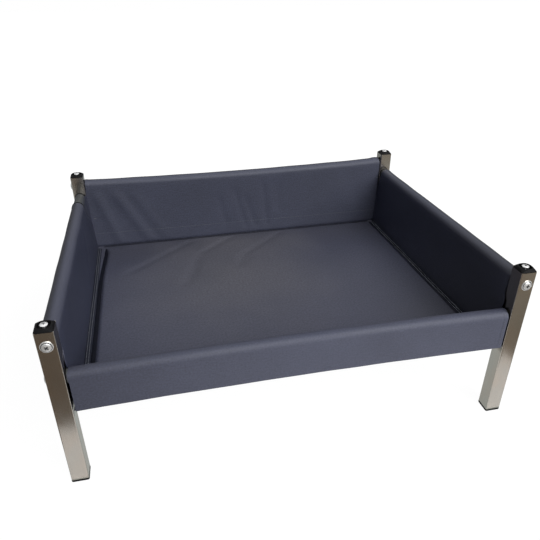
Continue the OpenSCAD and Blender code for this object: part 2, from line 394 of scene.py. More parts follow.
def woven_cloth(name, dark, light, gloss=0.85, lain_on=0.0, rubbed=0.0, bands=(), band_reach_x=None,
                shade=None):
    """Coated plain weave: fine crossed threads, a slow drift of tone, and dust where it is lain on.

    Bands across a wall, as (start, full, full, end) zones with a tone and its share, are painted light or
    painted shade; the reach in x is where along the wall they begin and reach their full share. Rubbing
    adds to the roughness of the inner panel. A shade, as (axis, none, full, share), is painted shade along
    an axis. On the floor, a lightening towards the rear is painted light mixed in with the dust, and a
    darkening at the right front is painted shade.
    """
    finish = Coat(name)
    thread = finish.node("UVMap", {"uv_map": "weave"}, {})
    across, along = ((finish.axis(axis, thread) * (TURN / THREAD_PITCH)).sine() for axis in "XY")
    weave = across * along
    slub = finish.noise(finish.node("Mapping", {}, {"Vector": thread, "Scale": (40, 900, 1)}), 1.0)
    drift = finish.noise(finish.place(), 7.0, 3.0)
    grain = finish.noise(thread, 260.0 if lain_on else 330.0, 2.0, 0.6)
    contrast = 3.0 if lain_on else 2.2
    tone = 0.5 + weave * 0.12 + (slub - 0.5) + (grain - 0.5) * contrast + (drift - 0.5) * 0.8
    base = finish.mix(tone, dark, light)
    rough = 0.62 + (drift - 0.5) * 0.16 - weave * 0.05
    zone = finish.node("Attribute", {"attribute_name": "zone"}, {}, "Fac")
    if rubbed:
        rough = rough + zone.ease(1.95, 2.1) * rubbed
    # Bands of painted light and painted shade across the wall
    for rise, full, fall, stop, tint, share in bands:
        uneven = share + (drift - 0.5) * 0.4 * share
        factor = zone.ease(rise, full) * (1 - zone.ease(fall, stop)) * uneven
        if band_reach_x:
            factor = factor * finish.axis("X").ease(*band_reach_x)
        base = finish.mix(factor, base, tint)
        if tint == SHADED:
            rough = rough + factor * 0.3
    # Painted shade that darkens the cloth along an axis
    if shade:
        axis, none, full, share = shade
        base = finish.mix(finish.axis(axis).ease(none, full) * share, base, SHADED)
    if lain_on:
        x, y = (finish.axis(axis) for axis in "XY")
        reach = {"Vector": finish.place(), "Location": LAIN_ON_MIDDLE, "Scale": LAIN_ON_REACH}
        distance = finish.length(finish.node("Mapping", {"vector_type": "TEXTURE"}, reach))
        settled = (1 - distance + (drift - 0.5) * 0.9).ease(0.0, 1.0)
        # Dust where the floor is lain on, plus a lightening towards the rear that is painted light
        dust_and_painted_light = settled * lain_on + y.ease(0.13, 0.26) * 0.07 + (grain - 0.5) * settled * 0.35
        base = finish.mix(dust_and_painted_light, base, DUST)
        # Painted shade at the right front of the floor, where the right wall shades it
        right_front = x.ease(0.1, 0.34) * (0 - y).ease(-0.04, 0.2)
        base = finish.mix(right_front * 0.6, base, SHADED)
        rough = rough + settled * 0.06
    relief = finish.bump(weave * 0.5 + slub * 0.35 + grain * 0.4, 0.12 * MM, 0.5)
    return finish.close(base, rough, relief, gloss=gloss)


def ribbed_tape(name, tone, gloss):
    """Bound seam tape: cross ribs and a darker, duller tone than the cloth."""
    finish = Coat(name)
    thread = finish.node("UVMap", {"uv_map": "weave"}, {})
    rib = (finish.axis("Y", thread) * (TURN / RIB_PITCH)).sine()
    drift = finish.noise(finish.place(), 35.0, 3.0)
    dark = colour(0.016, 0.018, 0.029, tone)
    light = colour(0.025, 0.028, 0.044, tone)
    base = finish.mix(0.5 + rib * 0.2 + (drift - 0.5), dark, light)
    rough = 0.62 + (drift - 0.5) * 0.2
    return finish.close(base, rough, finish.bump(rib, 0.1 * MM, 0.6), gloss=gloss)


def sewing_thread(name, tone):
    """Polyester thread with its twist."""
    finish = Coat(name)
    turns = {"Vector": finish.place(), "Scale": 900.0}
    twist = finish.node("TexWave", {"bands_direction": "DIAGONAL"}, turns)
    drift = finish.noise(finish.place(), 80.0)
    base = finish.mix(drift, colour(0.11, 0.12, 0.145, tone), colour(0.21, 0.22, 0.25, tone))
    return finish.close(base, 0.5 + drift * 0.2, finish.bump(twist, 0.05 * MM))


def brushed_steel():
    """Stainless tube: a fine grain along its length, faint smudges, warm patches, and a painted reflection
    of the dark cloth on its inner face.
    """
    finish = Coat("brushed_steel")
    grain = finish.noise(finish.place(z=0.004), 2600.0, 3.0)
    streak = finish.noise(finish.place(z=0.02), 420.0, 2.0)
    smudge = finish.noise(finish.place(z=0.6), 26.0, 4.0)
    tone = 0.5 + (grain - 0.5) * 0.5 + (smudge - 0.5) * 0.6
    base = finish.mix(tone, colour(0.50, 0.465, 0.414), colour(0.67, 0.634, 0.582))
    warm = finish.noise(finish.place(z=0.5), 24.0, 2.0).ease(0.42, 0.66)
    base = finish.mix(warm * 0.6, base, colour(0.62, 0.535, 0.46))
    # Painted reflection: the inner face is darkened where the cloth is beside it, as if it mirrored the
    # dark sling
    inner_face = 1 - abs(finish.axis("X")).ease(LEG_INNER_X, LEG_INNER_X + 0.8 * MM)
    beside_cloth = finish.axis("Z").ease(0.136, 0.148)
    base = finish.mix(inner_face * beside_cloth * 0.62, base, colour(0.10, 0.09, 0.08))
    rough = 0.21 + (streak - 0.5) * 0.08 + (smudge - 0.5) * 0.1
    return finish.close(base, rough, finish.bump(grain + streak * 0.4, 0.01 * MM, 0.3), metallic=1.0)


def plated_steel():
    """Bright zinc plate on the fasteners, a little cloudy, with painted shade in its recesses."""
    finish = Coat("plated_steel")
    cloud = finish.noise(finish.place(), 240.0, 3.0)
    pit = finish.noise(finish.place(), 1500.0, 2.0)
    base = finish.mix(cloud, colour(0.80, 0.81, 0.82), colour(0.94, 0.94, 0.93))
    # Painted shade: the marked recess and the ring round the dome are darkened
    recess_shade = finish.node("Attribute", {"attribute_name": "recess"}, {}, "Fac")
    base = finish.mix(recess_shade * 0.82, base, colour(0.03, 0.034, 0.04))
    return finish.close(base, 0.3 + cloud * 0.12, finish.bump(pit, 0.02 * MM, 0.4), metallic=0.7)


def moulded_plastic():
    """Black moulded plastic with a fine spark texture and a few dull rubs."""
    finish = Coat("moulded_plastic")
    spark = finish.noise(finish.place(), 1900.0, 2.0)
    rub = finish.noise(finish.place(), 90.0, 4.0)
    base = finish.mix(rub, colour(0.004, 0.004, 0.0045), colour(0.010, 0.010, 0.011))
    return finish.close(base, 0.42 + rub * 0.2, finish.bump(spark, 0.03 * MM, 0.4), gloss=0.1)


def powder_coat():
    """Grey powder coat with its orange peel."""
    finish = Coat("powder_coat")
    peel = finish.noise(finish.place(), 700.0, 2.0)
    drift = finish.noise(finish.place(), 30.0, 3.0)
    base = finish.mix(drift, colour(0.060, 0.066, 0.070), colour(0.092, 0.099, 0.103))
    return finish.close(base, 0.5 + drift * 0.14, finish.bump(peel, 0.05 * MM, 0.4))


def turned_alloy():
    """Turned alloy of the inserts, with its tool marks."""
    finish = Coat("turned_alloy")
    mark = finish.noise(finish.place(), 900.0, 2.0)
    base = finish.mix(mark, colour(0.52, 0.52, 0.53), colour(0.70, 0.70, 0.71))
    return finish.close(base, 0.3 + mark * 0.2, finish.bump(mark, 0.02 * MM), metallic=1.0)


# Two tones of one cloth: the side pair, used on the front wall too, is a little darker and bluer as painted
# shade
WALL_DARK, WALL_LIGHT = colour(0.031, 0.035, 0.059), colour(0.061, 0.068, 0.113)
SIDE_DARK, SIDE_LIGHT = colour(0.029, 0.033, 0.059), colour(0.058, 0.065, 0.113)
# Each wall's bands and shade are painted light and painted shade: light bands on the front panel and the
# sleeves' inner sides, dark bands on the sleeves' outer sides and tops, and darker ends along the front and
# side walls
WALL_CLOTHS = {
    "front_wall": woven_cloth(
        "front_cloth", SIDE_DARK, SIDE_LIGHT, 0.74, band_reach_x=(-0.45, -0.08), shade=("X", -0.05, -0.38, 0.3),
        bands=((-1, -0.9, 1.26, 1.42, PAINTED_LIGHT, 0.105), (1.62, 1.68, 1.8, 1.9, PAINTED_LIGHT, 0.09)),
    ),
    "back_wall": woven_cloth(
        "back_cloth", WALL_DARK, WALL_LIGHT, 0.74, rubbed=0.1,
        bands=((1.56, 1.66, 1.82, 2.0, PAINTED_LIGHT, 0.08), (1.0, 1.1, 1.46, 1.6, SHADED, 0.9)),
    ),
    "left_wall": woven_cloth(
        "left_cloth", SIDE_DARK, SIDE_LIGHT, rubbed=-0.24, shade=("Y", 0.02, 0.27, 0.32),
        bands=((1.5, 1.75, 1.95, 2.06, PAINTED_LIGHT, 0.16), (1.0, 1.1, 1.36, 1.62, SHADED, 0.9)),
    ),
    "right_wall": woven_cloth(
        "right_cloth", SIDE_DARK, SIDE_LIGHT, rubbed=-0.24, shade=("Y", 0.1, -0.28, 0.6),
        bands=((1.0, 1.1, 1.42, 1.6, SHADED, 0.9),),
    ),
}
FLOOR_DARK, FLOOR_LIGHT = colour(0.030, 0.034, 0.060), colour(0.060, 0.066, 0.116)
FLOOR_CLOTH = woven_cloth("floor_cloth", FLOOR_DARK, FLOOR_LIGHT, lain_on=0.18)
# The right tape is a darker copy of the same tape, as painted shade where the right wall shades its seam
TAPE_CLOTHS = {"left": ribbed_tape("left_tape", 1.0, 0.2), "right": ribbed_tape("shaded_right_tape", 0.5, 0.06)}
THREAD = sewing_thread("sewing_thread", 0.8)
# The right thread is a paler copy of the thread, as painted light, so that it shows in the right wall's
# shade
TAPE_THREADS = {"left": sewing_thread("grey_thread", 1.15), "right": sewing_thread("lit_right_thread", 2.7)}
STEEL = brushed_steel()
PLATED = plated_steel()
PLASTIC = moulded_plastic()
PAINT = powder_coat()
ALLOY = turned_alloy()


# Cloth


def ease(value, low, high):
    """0 below low, 1 above high, and a smooth step between them."""
    share = np.clip((value - low) / (high - low), 0, 1)
    return share * share * (3 - 2 * share)


def fold(u, v, start, end, width, height):
    """Rise of a soft fold that runs from start to end on a panel, tapering at both ends."""
    run = np.subtract(end, start)
    length = np.hypot(*run)
    along = ((u - start[0]) * run[0] + (v - start[1]) * run[1]) / length
    aside = ((u - start[0]) * run[1] - (v - start[1]) * run[0]) / length
    taper = ease(along, -width, 2 * width) * (1 - ease(along, length - 2 * width, length + width))
    return height * np.exp(-(aside / width) ** 2) * taper


def folds(u, v, shapes):
    """Rise of several folds, whose shapes are in millimetres."""
    return sum(fold(u / MM, v / MM, *shape) for shape in shapes) * MM


def ripple(u, v, seed):
    """A slow uneven surface, from -1 to 1, as stretched cloth has."""
    waves = ((31, 17, 0.0), (-23, 41, 1.7), (67, 29, 3.1), (-53, 71, 4.4))
    return sum(np.sin(a * u + b * v + c + seed) for a, b, c in waves) / len(waves)


def places(mesh):
    """The places of a mesh's vertices, as rows of x, y and z."""
    flat = np.zeros(3 * len(mesh.vertices), np.float32)
    mesh.vertices.foreach_get("co", flat)
    return flat.reshape(-1, 3)


def move_to(mesh, points):
    mesh.vertices.foreach_set("co", points.astype(np.float32).ravel())
    mesh.update()


def cloth_grid(name, points, weave, zone=None):
    """A grid moved to rows of points, with its threads' places as a UV map in metres, and its zones."""
    only()
    rows, columns = points.shape[:2]
    bpy.ops.mesh.primitive_grid_add(x_subdivisions=columns - 1, y_subdivisions=rows - 1, size=1)
    piece = bpy.context.object
    mesh = piece.data
    piece.name = mesh.name = name
    flat = places(mesh) + 0.5
    column = np.rint(flat[:, 0] * (columns - 1)).astype(int)
    row = np.rint(flat[:, 1] * (rows - 1)).astype(int)
    corner = np.zeros(len(mesh.loops), np.int32)
    mesh.loops.foreach_get("vertex_index", corner)
    threads = mesh.uv_layers[0]
    threads.name = "weave"
    threads.data.foreach_set("uv", weave[row[corner], column[corner]].astype(np.float32).ravel())
    if zone is not None:
        mark = mesh.attributes.new("zone", "FLOAT", "POINT")
        mark.data.foreach_set("value", zone[row].astype(np.float32))
    move_to(mesh, points[row, column])
    return piece


def thicken(piece):
    """Gives a cloth its thickness, on the side turned away from its face."""
    modify(piece, "SOLIDIFY", thickness=CLOTH, offset=-1.0, use_even_offset=True)
    smooth(piece, 50)
    return piece


def strip(name, x, y, z, across, along):
    """A strip of cloth that lies face up on the floor, with its threads' places across and along it."""
    piece = cloth_grid(name, np.stack((x, y, z), 2), np.stack((across, along), 2))
    face_up(piece, piece.data.polygons[0])
    return thicken(piece)


def steps(start, end, pitch):
    """Evenly spaced values from start up to, and without, end."""
    return np.linspace(start, end, max(2, round(abs(end - start) / pitch)), endpoint=False)


class Wall:
    """A wall of the sling: one cloth up its outside, over the rail, and down its inside to the floor.

    Zones number the section: 0 the hem, 1 the outer panel's top, 2 the inner panel's top, 3 its foot.
    """

    ROW_PITCH = 6 * MM
    SLEEVE_PITCH = 2 * MM
    COLUMN_PITCH = 5 * MM
    # Columns at an end's hem, and the first one past it
    HEM_COLUMNS = np.array((0, 1, 2, 3.5, 5, 6, 7, 8, 10)) * MM
    PAST_HEM = 14 * MM
    # How the edge turns in under the floor, in shares of the wall's tuck
    TURNED_IN = ((0.3, -0.35), (0.9, -0.6), (2.4, -0.8))

    def __init__(self, name, place, foot_down, hem_down, tuck, starts, ends, relief,
                 hems=(True, True), foot_in=WALL_FOOT_IN, bow=(0, 0)):
        self.name = name
        self.hems = hems
        self.bow = bow
        self.tuck = tuck
        self.place = place
        self.starts = starts
        self.ends = ends
        self.relief = relief
        self.outline(foot_in, foot_down, hem_down)

    def outline(self, foot_in, foot_down, hem_down):
        """Points (outwards, upwards) of the section from the rail's axis, and their zones and runs."""
        radius = SLEEVE_RADIUS
        lean = TURN + math.atan2(-foot_down, -foot_in)
        lean -= math.acos(radius / math.hypot(foot_in, foot_down))
        hem = [(radius - inset, -hem_down) for inset in (HEM_RETURN, HEM_RETURN / 2)]
        for bend in TURN / 4 * np.linspace(0, 1, 5)[:-1]:
            inset, rise = HEM_BEND * (1 - math.sin(bend)), HEM_BEND * (1 - math.cos(bend))
            hem.append((radius - inset, rise - hem_down))
        outer = [(radius, up) for up in steps(HEM_BEND - hem_down, 0, self.ROW_PITCH)]
        turns = steps(0, lean, self.SLEEVE_PITCH / radius)
        sleeve = [(radius * math.cos(turn), radius * math.sin(turn)) for turn in turns]
        top = np.array((math.cos(lean), math.sin(lean))) * radius
        foot = np.array((-foot_in, -foot_down))
        shares = np.linspace(0, 1, round(foot_down / self.ROW_PITCH))
        inner = [top + (foot - top) * share for share in shares]
        turned_in = [foot + np.array(step) * self.tuck for step in self.TURNED_IN]
        parts = (hem, outer, sleeve, inner, turned_in)
        self.points = np.array([point for part in parts for point in part])
        self.zone = np.concatenate([
            np.zeros(len(hem)),
            np.linspace(0, 1, len(outer), endpoint=False),
            np.linspace(1, 2, len(sleeve), endpoint=False),
            np.linspace(2, 3, len(inner)),
            np.full(len(turned_in), 3),
        ])
        self.run = np.append(0, np.cumsum(np.hypot(*np.diff(self.points, axis=0).T)))
        heading = np.gradient(self.points, self.run, axis=0)
        self.normals = np.stack((heading[:, 1], -heading[:, 0]), 1)

    def at_zone(self, zone):
        """Run from the hem to a zone's place."""
        return np.interp(zone, self.zone, self.run)

    def span(self, run):
        """Where the cloth starts and ends along the wall, at each run from the hem."""
        zone = np.interp(run, self.run, self.zone)
        return np.interp(zone, *zip(*self.starts)), np.interp(zone, *zip(*self.ends))

    def surface(self, along, run, lift=0.0):
        """Points of the cloth at places along the wall and runs from the hem."""
        zone = np.interp(run, self.run, self.zone)
        outward, upward = (np.interp(run, self.run, self.points[:, axis]) for axis in (0, 1))
        normal_out, normal_up = (np.interp(run, self.run, self.normals[:, axis]) for axis in (0, 1))
        start, end = self.span(run)
        from_start = along - start if self.hems[0] else END_HEM
        to_end = np.minimum(from_start, end - along if self.hems[1] else END_HEM)
        rise = lift + self.relief(along, zone, upward)
        hem = ease(zone, 0, 0.1) * (1 - ease(zone, 1.95, 2.2))
        rise = rise + END_HEM_RISE * hem * (1 - ease(to_end, END_HEM - 1.5 * MM, END_HEM))
        bow = drawn(along) * (1 - np.clip(zone - 2, 0, 1))
        outward = outward + normal_out * rise - self.bow[0] * bow
        return self.place(along, outward, upward + normal_up * rise + self.bow[1] * bow)

    def cloth(self):
        """The wall's cloth as a mesh."""
        start, end = self.span(self.run)
        length = (end - start).max()
        near, last = self.HEM_COLUMNS, length - self.PAST_HEM
        middle = steps(self.PAST_HEM, last, self.COLUMN_PITCH)
        share = np.concatenate((near, middle, [last], length - near[::-1])) / length
        along = start[:, None] + (end - start)[:, None] * share
        run = np.repeat(self.run[:, None], len(share), 1)
        piece = cloth_grid(self.name, self.surface(along, run), np.stack((along, run), 2), self.zone)
        face_up(piece, max(piece.data.polygons, key=lambda face: face.center.z))
        return thicken(piece)

    def cut(self):
        """Size of the flat cloth, as its run across the section by its greatest length, and its area."""
        start, end = self.span(self.run)
        length = end - start
        return (float(self.run[-1]), float(length.max())), float(np.sum(length[1:] * np.diff(self.run)))


def long_wall(side, rail_z):
    """Places on the front wall (side -1) or the back wall (side 1)."""
    def place(along, outward, upward):
        return np.stack((along, side * (LEG_Y + outward), rail_z + upward), -1)
    return place


def side_wall(side):
    """Places on the left wall (side -1) or the right wall (side 1)."""
    def place(along, outward, upward):
        return np.stack((side * (LEG_X + outward), along, side_rail_z(along) + upward), -1)
    return place


def front_relief(along, zone, upward):
    panel = ease(zone, 0.0, 0.4) * (1 - ease(zone, 0.8, 1.0))
    return 0.35 * MM * ripple(along, upward, 0.3) + 0.5 * MM * panel * np.sin(9 * along + 1)


def back_relief(along, zone, upward):
    """Folds fan out from the upper left, with narrow ones along the middle; the sleeve ends in a pucker."""
    inside = ease(zone, 1.95, 2.25) * (1 - ease(zone, 2.94, 3.0))
    rise = folds(along, BACK_RAIL_Z + upward, (
        ((-345, 272), (-296, 122), 11, 2.2),
        ((-305, 274), (-221, 120), 12, 2.5),
        ((-262, 270), (-180, 124), 13, 1.2),
        ((-56, 236), (-38, 150), 7, -1.1),
        ((-15, 250), (11, 142), 7, -1.4),
        ((10, 232), (36, 142), 7, -1.3),
        ((55, 272), (66, 138), 7, -1.5),
        ((92, 262), (98, 176), 8, -1.0),
        ((250, 240), (300, 150), 16, 0.7),
    ))
    pucker = 1.6 * MM * np.exp(-((along - 349 * MM) / (7 * MM)) ** 2)
    pucker = pucker * ease(zone, 1.0, 1.5) * (1 - ease(zone, 1.5, 2.0))
    return inside * rise + pucker + 0.4 * MM * ripple(along, upward, 2.1) * ease(zone, 0.05, 0.3)


def left_relief(along, zone, upward):
    inside = ease(zone, 1.95, 2.3) * (1 - ease(zone, 2.8, 3.0))
    rise = folds(along, upward, (((150, -20), (60, -110), 12, 1.0), ((215, -30), (262, -100), 9, 0.9)))
    return inside * rise + 0.4 * MM * ripple(along, upward, 4.0) * ease(zone, 0.05, 0.3)


def right_relief(along, zone, upward):
    return 0.45 * MM * ripple(along, upward, 5.2) * ease(zone, 0.05, 0.3)


SIDE_DROP = side_rail_z(0) - floor_z(0)
LEFT_SLEEVE_END = LEG_INNER_Y - BARE_RAIL
SIDE_SINK = 1 * MM
END_FOOT = 2.6 * MM
MITRE_X = FLOOR_EDGE_X + 1.6 * MM
MITRE_Y = FLOOR_EDGE_Y - 0.3 * MM


def beside_leg(side, inner, *gaps):
    """Ends of a wall's cloth by zone, each with its gap in millimetres from a leg's inner face."""
    return [(zone, side * (inner - gap * MM)) for zone, gap in gaps]


def side_front_end(flare):
    """Front end of a side wall: beside the leg at its sleeve, forward above the front rail, then mitred."""
    drawn_forward = [(2.36, -flare), (2.5, -flare + 1.5 * MM), (3, -MITRE_Y)]
    return beside_leg(-1, LEG_INNER_Y, (0, 1.5), (2.2, 1.2)) + drawn_forward


# The ends of each wall's cloth are given from its hem (zone 0) to its foot (zone 3)
WALLS = {
    "front_wall": Wall(
        "front_wall_cloth", long_wall(-1, FRONT_RAIL_Z),
        FRONT_RAIL_Z - floor_z(-FLOOR_EDGE_Y) - END_FOOT,
        FRONT_RAIL_Z - floor_z(-LEG_Y - SLEEVE_RADIUS) + HEM_BELOW_FLOOR, END_FOOT,
        beside_leg(-1, LEG_INNER_X, (0, 3.8), (0.9, 3.6), (1.2, 1.9), (1.5, 4), (2, 3.5)) + [(3, -MITRE_X)],
        beside_leg(1, LEG_INNER_X, (0, 2.5), (1.1, 2.5), (1.4, 3.5), (2, 3.5), (2.3, 2)) + [(3, MITRE_X)],
        front_relief, hems=(False, True), bow=FRONT_BOW,
    ),
    "back_wall": Wall(
        "back_wall_cloth", long_wall(1, BACK_RAIL_Z),
        BACK_RAIL_Z - floor_z(FLOOR_EDGE_Y) - END_FOOT,
        BACK_RAIL_Z - floor_z(LEG_Y + SLEEVE_RADIUS) + HEM_BELOW_FLOOR, END_FOOT,
        beside_leg(-1, LEG_INNER_X, (0, 1.6), (2, 1.6), (2.12, 0.2), (2.4, 0.2)) + [(3, -MITRE_X)],
        beside_leg(1, LEG_INNER_X, (0, 1.6), (1, 4), (1.5, 4), (2, 1.6)) + [(3, MITRE_X)],
        back_relief, bow=BACK_BOW,
    ),
    "left_wall": Wall(
        "left_wall_cloth", side_wall(-1),
        SIDE_DROP + SIDE_SINK, SIDE_DROP + HEM_BELOW_FLOOR, SIDE_SINK / 4,
        side_front_end(295 * MM),
        beside_leg(1, LEG_INNER_Y, (0, 1), (1 - CORNER_SLIT / SIDE_DROP, 1)) + [
            (1 - SLEEVE_RADIUS / SIDE_DROP, LEFT_SLEEVE_END),
            (2 + SLEEVE_RADIUS / SIDE_DROP, LEFT_SLEEVE_END),
            (2 + CORNER_SLIT / SIDE_DROP, MITRE_Y + 5 * MM),
            (3, MITRE_Y),
        ],
        left_relief,
    ),
    "right_wall": Wall(
        "right_wall_cloth", side_wall(1),
        SIDE_DROP + SIDE_SINK, SIDE_DROP + HEM_BELOW_FLOOR, SIDE_SINK / 4,
        side_front_end(291 * MM),
        beside_leg(1, LEG_INNER_Y, (0, 1), (1, 11), (2, 11)) + [(2.15, MITRE_Y + 8 * MM), (3, MITRE_Y)],
        right_relief, foot_in=WALL_FOOT_IN + 2.5 * MM,
    ),
}


def corner_gusset():
    """The flap of cloth that closes the rear left corner behind the left wall's slanted edge."""
    top = side_rail_z(LEG_INNER_Y) + 6 * MM
    bottom = top - 84 * MM
    behind = 1.7 * MM
    ends = np.linspace(LEFT_SLEEVE_END - 6 * MM, LEG_INNER_Y - 0.4 * MM, 30)
    along, share = np.meshgrid(ends, np.linspace(0, 1, 22))
    z = bottom + share * (top + SLOPE * (along - LEG_INNER_Y) - bottom)
    lean = (z - floor_z(along)) * (WALL_FOOT_IN - SLEEVE_RADIUS) / SIDE_DROP
    slack = 0.5 * MM * np.sin(60 * along) * np.sin(TURN / 2 * share)
    x = -FLOOR_EDGE_X - lean - behind - slack + 4 * MM * ease(along, LEG_INNER_Y - 9 * MM, LEG_INNER_Y)
    return thicken(cloth_grid("corner_gusset", np.stack((x, along, z), 2), np.stack((along, z), 2)))


def groove(inset, width, depth, shoulder):
    """Drop of the floor's cloth at a seam: a round shoulder inside the line, then a trough and its bank."""
    inside = 1 - np.sqrt(1 - np.clip(1 - inset / shoulder, 0, 1) ** 2)
    outside = 1 - ease(-inset, width - 1.5 * MM, width)
    return -depth * np.where(inset > 0, inside, outside)


def left_line_at(y):
    """Where the left groove begins: drawn in towards the rear."""
    return LEFT_GROOVE[0] - REAR_DRAW * ease(y, *REAR_DRAW_Y)


def left_depth_at(y):
    """Share of the left groove's depth: it runs out at the rear seam."""
    return 1 - ease(y, *RUN_OUT_Y)


def floor_relief(x, y):
    """The floor's rounded edges at its seams, a slight sag, and a few long creases."""
    right_line, *right_shape = RIGHT_GROOVE
    end_line, *end_shape = END_GROOVE
    from_left, from_right, from_end = x + left_line_at(y), right_line - x, end_line - np.abs(y)
    left = groove(from_left, *LEFT_GROOVE[1:]) * left_depth_at(y)
    sides = np.minimum(left, groove(from_right, *right_shape))
    sides = sides * (1 - ease(np.abs(y), end_line, FLOOR_EDGE_Y + 2 * MM))
    seams = np.minimum(sides, groove(from_end, *end_shape))
    sag_x, sag_y = (np.cos(TURN / 4 * np.clip(share, -1, 1)) for share in (x / right_line, y / end_line))
    creases = folds(x, y, (
        ((-125, 268), (-292, 117), 10, -1.8),
        ((-22, 272), (-117, 187), 9, -2.1),
        ((-117, 187), (-162, 44), 13, -2.5),
        ((98, 265), (-15, 163), 9, -1.6),
        ((-15, 163), (-36, 100), 11, -1.6),
        ((150, 60), (60, -120), 24, 0.7),
        ((-240, -20), (-200, -180), 24, 0.6),
    ))
    field = ease(from_left, 0, 20 * MM) * ease(from_right, 0, 20 * MM) * ease(from_end, 0, 20 * MM)
    return seams - FLOOR_SAG * sag_x * sag_y + (creases + 0.3 * MM * ripple(x, y, 1.1)) * field


def grid_lines(edge, notch, seam):
    """Lines across half the floor: wide in its field, close at its seam, and one at a leg notch."""
    return np.concatenate((
        steps(0, seam - 22 * MM, 5 * MM),
        steps(seam - 22 * MM, seam - 10 * MM, 2 * MM),
        steps(seam - 10 * MM, notch, 1 * MM),
        np.linspace(notch, edge, 6),
    ))


def both_ways(low_side, high_side):
    """Lines across the whole floor, from those of its two halves."""
    return np.concatenate((-low_side[:0:-1], high_side))


def sling_floor():
    """The floor's cloth, out under the walls to their hems and cut out round the legs."""
    notch_x, notch_y = LEG_INNER_X - LEG_NOTCH, LEG_INNER_Y - LEG_NOTCH
    edge_x, edge_y = (edge - CLOTH - 0.4 * MM for edge in (floor_high.x, floor_high.y))
    sides = [grid_lines(edge_x, notch_x, line) for line, *_ in (LEFT_GROOVE, RIGHT_GROOVE)]
    ends = grid_lines(edge_y, notch_y, END_GROOVE[0])
    x, y = np.meshgrid(both_ways(*sides), both_ways(ends, ends))
    z = floor_z(y) + floor_relief(x, y)
    weave = np.stack((x, y), 2)
    for side, bow in ((-1, FRONT_BOW), (1, BACK_BOW)):
        share = drawn(x) * ease(side * y, FLOOR_EDGE_Y + 2 * MM, LEG_Y + 6 * MM)
        y = y - side * bow[0] * share
        z = z + bow[1] * share
    piece = cloth_grid("sling_floor", np.stack((x, y, z), 2), weave)
    edit(piece)
    pick(piece, "polygons", lambda centre, face: abs(centre.x) > notch_x and abs(centre.y) > notch_y)
    bpy.ops.mesh.delete(type="FACE")
    leave_edit()
    return thicken(piece)


# Middle and width of each seam tape, the share of its half width where its stitches run, their half width
TAPES = {
    "left": (-TAPE_X - 1.3 * MM, TAPE_WIDTH, 0.42, 0.7 * MM),
    "right": (348.4 * MM, 7 * MM, 0.72, 0.95 * MM),
}


def on_tape(middle, aside, y):
    """Where a line along a seam tape runs: it wavers a little."""
    return middle + aside + 0.3 * MM * np.sin(21 * y)


def seam_tape(name, middle, width, rows):
    """A bound tape over a floor seam: a rounded strip with two rows of stitching pressed into it."""
    share, along = np.meshgrid(np.linspace(-1, 1, 15), steps(tape_low.y, tape_high.y, 4 * MM))
    across = share * width / 2
    rounded = 2.0 * MM * (1 - np.abs(share) ** 6)
    pressed = 0.5 * MM * np.exp(-((np.abs(share) - rows) / 0.12) ** 2)
    z = floor_z(along) + rounded - pressed - 0.4 * MM + 0.3 * MM * ripple(along, share, 0.7)
    return strip(name, on_tape(middle, across, along), along, z, across, along)


def seam_shade_cord():
    """A thin dark cord in the seam at the foot of the back wall, laid there as painted shade for the seam's
    crease.
    """
    half = 1.2 * MM
    x, share = np.meshgrid(steps(-LEFT_GROOVE[0], RIGHT_GROOVE[0], 4 * MM), np.linspace(-1, 1, 9))
    y = FLOOR_EDGE_Y - 1.3 * MM + half * share
    z = floor_z(y) - 0.2 * MM + 1.1 * MM * np.sqrt(1 - 0.98 * share ** 2) + 0.2 * MM * ripple(x, share, 2.0)
    return strip("rear_seam_cord", x, y, z, half * share, x)


def groove_shade_strip():
    """A dull dark strip that lines the groove beside the left tape as painted shade, and narrows where it
    runs out.
    """
    share, y = np.meshgrid(np.linspace(-1, 1, 9), steps(tape_low.y, tape_high.y, 4 * MM))
    half = LEFT_GROOVE[1] / 2
    depth = left_depth_at(y)
    x = 0.8 * MM - left_line_at(y) - half + (half + 1.2 * MM) * (0.3 + 0.7 * depth) * share
    z = floor_z(y) + (0.4 - 4 * depth - 0.6 * share ** 2) * MM
    return strip("left_groove_shade_strip", x, y, z, x, y)


def bowed_rail(name, place, bow):
    """A long rail's tube as the stretched sling draws it in."""
    lengths = np.linspace(front_rail_low.x, front_rail_high.x, 61)
    along, angle = np.meshgrid(lengths, np.linspace(0, TURN, 49))
    outward = RAIL_RADIUS * np.cos(angle) - bow[0] * drawn(along)
    upward = RAIL_RADIUS * np.sin(angle) + bow[1] * drawn(along)
    weave = np.stack((along, RAIL_RADIUS * angle), 2)
    piece = cloth_grid(name + "_tube", place(along, outward, upward), weave)
    face_out(piece)
    modify(piece, "SOLIDIFY", thickness=RAIL_WALL, offset=-1.0)
    smooth(piece, 50)
    return finish_piece(piece, PAINT, "grey_rail", name)


# Stitching


